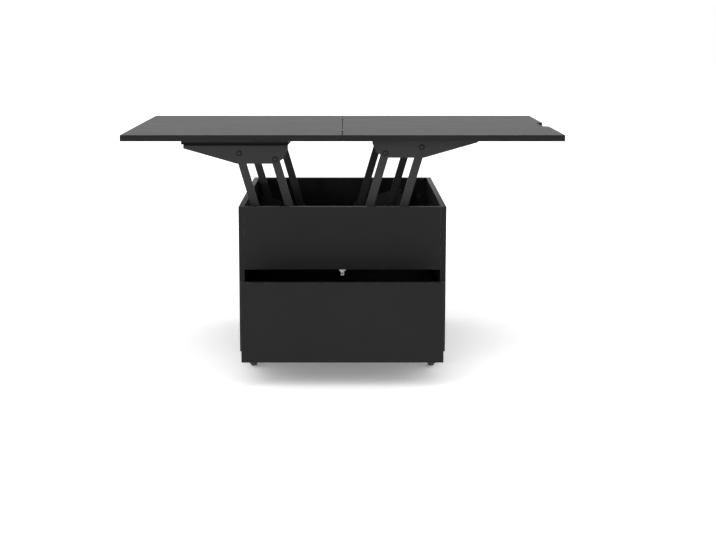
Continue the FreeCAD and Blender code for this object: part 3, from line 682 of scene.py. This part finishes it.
# %% Model and set the screws
def pan_screw(length):
    """A pan-head screw, the top of its head at zero."""
    tip = -length / mm
    profile = [(0.4, tip), (2.0, tip + 3.0), (2.0, -1.8), (4.0, -1.8), (4.0, -1.0), (3.7, -0.5), (3.0, -0.15),
               (2.0, 0.0)]
    head = turned("screw", metres(profile), 28)
    return cut_cross(head, 0.0, 0.85 * mm, 2.2 * mm, 1.1 * mm)


def flush_screw(length):
    """A small countersunk screw of a leaf hinge, its face at zero."""
    tip = -length / mm
    profile = [(0.3, tip), (1.1, tip + 2.0), (1.1, -0.9), (1.5, -0.4), (1.5, 0.0)]
    head = turned("hinge_screw", metres(profile), 20)
    return cut_cross(head, 0.0, 0.4 * mm, 1.0 * mm, 0.5 * mm)


for node in ["cabinet_screws", "right_leaf_screws", "left_leaf_screws", "support_board_screws", "drawer_screws"]:
    copies = []
    patterns = {}
    for points in loose_solids(node):
        seat = Seat(points)
        widest = max(seat.low_radius, seat.high_radius)
        small = widest < 1.8 * mm
        outward = seat.axis if seat.high_radius > seat.low_radius else -seat.axis
        if small:
            outward = Vector((-math.copysign(1.0, seat.middle.x), 0, 0))
        key = (small, round(seat.length, 5))
        if key not in patterns:
            patterns[key] = flush_screw(seat.length) if small else pan_screw(seat.length)
        copies.append(set_at(patterns[key], seat.end(outward), outward))
    stand_for(node, copies, zinc)
    for pattern in patterns.values():
        drop(pattern)

# %% [markdown]
# ## Cam covers
# The cabinet's panels are drawn together by cams, and on a black cabinet each cam is closed with a black snap-in
# cover. Only the cover shows, so it is turned short of the bolt that the cam grips: a thin rim, a shallow dish and
# a slot to prise it out.

# %% Model the cam covers
cover_profile = [(7.4, -4.2), (7.4, -0.3), (7.1, 0.0), (6.5, 0.0), (6.2, -0.25), (0.6, -0.15)]
cover = turned("cam_cover", metres(cover_profile), 40)
cover = cut_cross(cover, -0.15 * mm, 1.0 * mm, 3.0 * mm, 0.8 * mm)
copies = []
for points in loose_solids("cam_locks"):
    seat = Seat(points)
    outward = Vector((0, 0, -1)) if seat.way == 2 else Vector((0, -math.copysign(1.0, seat.middle.y), 0))
    copies.append(set_at(cover, seat.end(outward), outward))
stand_for("cam_locks", copies, moulded)
drop(cover)

# %% [markdown]
# ## Caster wheels
# Each wheel is moulded: a crowned tread with two fine grooves, a sunk web with lightening pockets and a raised hub.
# The profile is turned as one ring, because a wheel built of several discs would show seams at the web. The tread
# picks up grey dust where it meets the floor, so its finish changes with the distance from the axle.

# %% Model the wheels
wheel_profile = [(3.1, 8.5), (6.1, 8.5), (6.5, 8.1), (6.5, 5.0), (13.6, 5.0), (14.0, 5.4), (14.0, 8.3), (14.3, 8.5),
                 (15.6, 8.5), (17.2, 8.0), (18.0, 7.1), (18.4, 6.2), (18.8, 3.6), (18.4, 3.4), (18.4, 3.0),
                 (18.86, 2.8), (18.98, 0.6)]


def pocketed(wheel, count):
    """Sinks pockets between the spokes, on both sides of the web."""
    select_only(wheel)
    bpy.ops.object.mode_set(mode="EDIT")
    bpy.ops.mesh.select_mode(type="FACE")
    for side in (1, -1):
        for number in range(count):
            bpy.ops.mesh.select_all(action="DESELECT")
            bpy.ops.object.mode_set(mode="OBJECT")
            for face in wheel.data.polygons:
                turn = math.atan2(face.center.y, face.center.x) % (2 * math.pi)
                across = math.hypot(face.center.x, face.center.y) / mm
                in_web = face.normal.z * side > 0.9 and 7.0 < across < 13.0 and face.center.z * side > 0
                face.select = in_web and 0.12 < turn / (2 * math.pi) * count - number < 0.88
            bpy.ops.object.mode_set(mode="EDIT")
            bpy.ops.mesh.inset(thickness=0.7 * mm)
            bpy.ops.transform.translate(value=(0, 0, -side * 2.0 * mm))
    bpy.ops.object.mode_set(mode="OBJECT")
    return wheel


half_profile = metres(wheel_profile)
full_profile = half_profile + [(r, -h) for r, h in reversed(half_profile)]
wheel_pattern = pocketed(ring_turned("wheel", full_profile, 60), 6)
wheel_pattern = eased(wheel_pattern, 0.12 * mm)
print("wheel faces:", len(wheel_pattern.data.polygons))

# %% Finish and set the wheels
def tread(corner, axle, across):
    """Dark moulded tread on one wheel, dusty at its rim; across are the two numbers that turn round the axle."""
    material, sheet = new_finish("tread_" + corner)
    where = sheet.place()
    numbers = sheet.parts(where)
    first, second = [numbers[i] - axle[i] for i in across]
    radius = sheet.maths("SQRT", first * first + second * second)
    grain = sheet.noise(where, 900.0, 3.0, 0.6)
    dust = radius.rise(0.0172, 0.0189) * sheet.noise(where, 120.0, 4.0, 0.65).rise(0.35, 0.7)
    base = sheet.blend(grain, grey(0.014), grey(0.022))
    base = sheet.blend(0.5 * dust, base, grey(0.13, 0.05))
    sheet.surface({"Base Color": base, "Roughness": 0.48 + 0.12 * grain + 0.2 * dust,
                   "Normal": sheet.bump(grain, 0.2, 0.0003)})
    return material


rolls = {joint["child"]: joint for joint in frame["joints"]}
for corner in corners:
    roll = rolls["wheel_" + corner]
    axle = Vector(roll["pos_m"])
    along = Vector(roll["axis"])
    across = [i for i in range(3) if abs(along[i]) < 0.5]
    wheel = set_at(wheel_pattern, axle, along)
    stand_for("caster_wheel_" + corner, [wheel], tread(corner, axle, across))
drop(wheel_pattern)

# %% [markdown]
# ## Ball cages of the runners
# A drawer runner rolls on two rows of steel balls, held apart by a thin cage between the channel and the rail. They
# show in the gap beside the open drawer. An array modifier could space the balls, but a ball copied along both edges
# of the cage is easier to count and to move. The cage stays with the cabinet, inside the channel.

# %% Model a cage and a ball
ball_radius = 2.1 * mm
ball_rise = 17.0 * mm
cage_half = 100.0 * mm
ball_count = 8


def cage_strip(middle):
    """A thin upright strip with pressed edges, set at its place."""
    bpy.ops.object.select_all(action="DESELECT")
    bpy.ops.mesh.primitive_cube_add(size=1.0, location=middle)
    strip = bpy.context.object
    strip.scale = (1.0 * mm, 2 * cage_half, 2 * (ball_rise - 0.5 * mm))
    bpy.ops.object.transform_apply(location=True, rotation=True, scale=True)
    bpy.ops.object.mode_set(mode="EDIT")
    bpy.ops.mesh.select_mode(type="FACE")
    bpy.ops.mesh.select_all(action="DESELECT")
    bpy.ops.object.mode_set(mode="OBJECT")
    for face in strip.data.polygons:
        face.select = abs(face.normal.x) > 0.5
    bpy.ops.object.mode_set(mode="EDIT")
    bpy.ops.mesh.inset(thickness=5.0 * mm, use_individual=True)
    bpy.ops.mesh.inset(thickness=0.6 * mm, depth=-0.3 * mm, use_individual=True)
    bpy.ops.object.mode_set(mode="OBJECT")
    return eased(strip, 0.15 * mm)


bpy.ops.object.select_all(action="DESELECT")
bpy.ops.mesh.primitive_uv_sphere_add(segments=16, ring_count=10, radius=ball_radius, location=(0, 0, 0))
ball = bpy.context.object
bpy.ops.object.shade_smooth()
print("balls on each cage:", 2 * ball_count, "faces of a ball:", len(ball.data.polygons))

# %% Set the ball cages
for side in ("left", "right"):
    channel_low, channel_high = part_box("runner_channel_" + side)
    rail_low, rail_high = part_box("drawer_rail_" + side)
    low = Vector(max(pair) for pair in zip(channel_low, rail_low))
    high = Vector(min(pair) for pair in zip(channel_high, rail_high))
    middle = (low + high) / 2
    pieces = [cage_strip(middle)]
    for number in range(ball_count):
        step = (2 * number + 1) / ball_count - 1
        for rise in (-ball_rise, ball_rise):
            place = middle + Vector((0, step * (cage_half - 8 * mm), rise))
            pieces.append(set_at(ball, place, Vector((0, 0, 1))))
    fitted("ball_cage_" + side, "cabinet", pieces, zinc)
drop(ball)
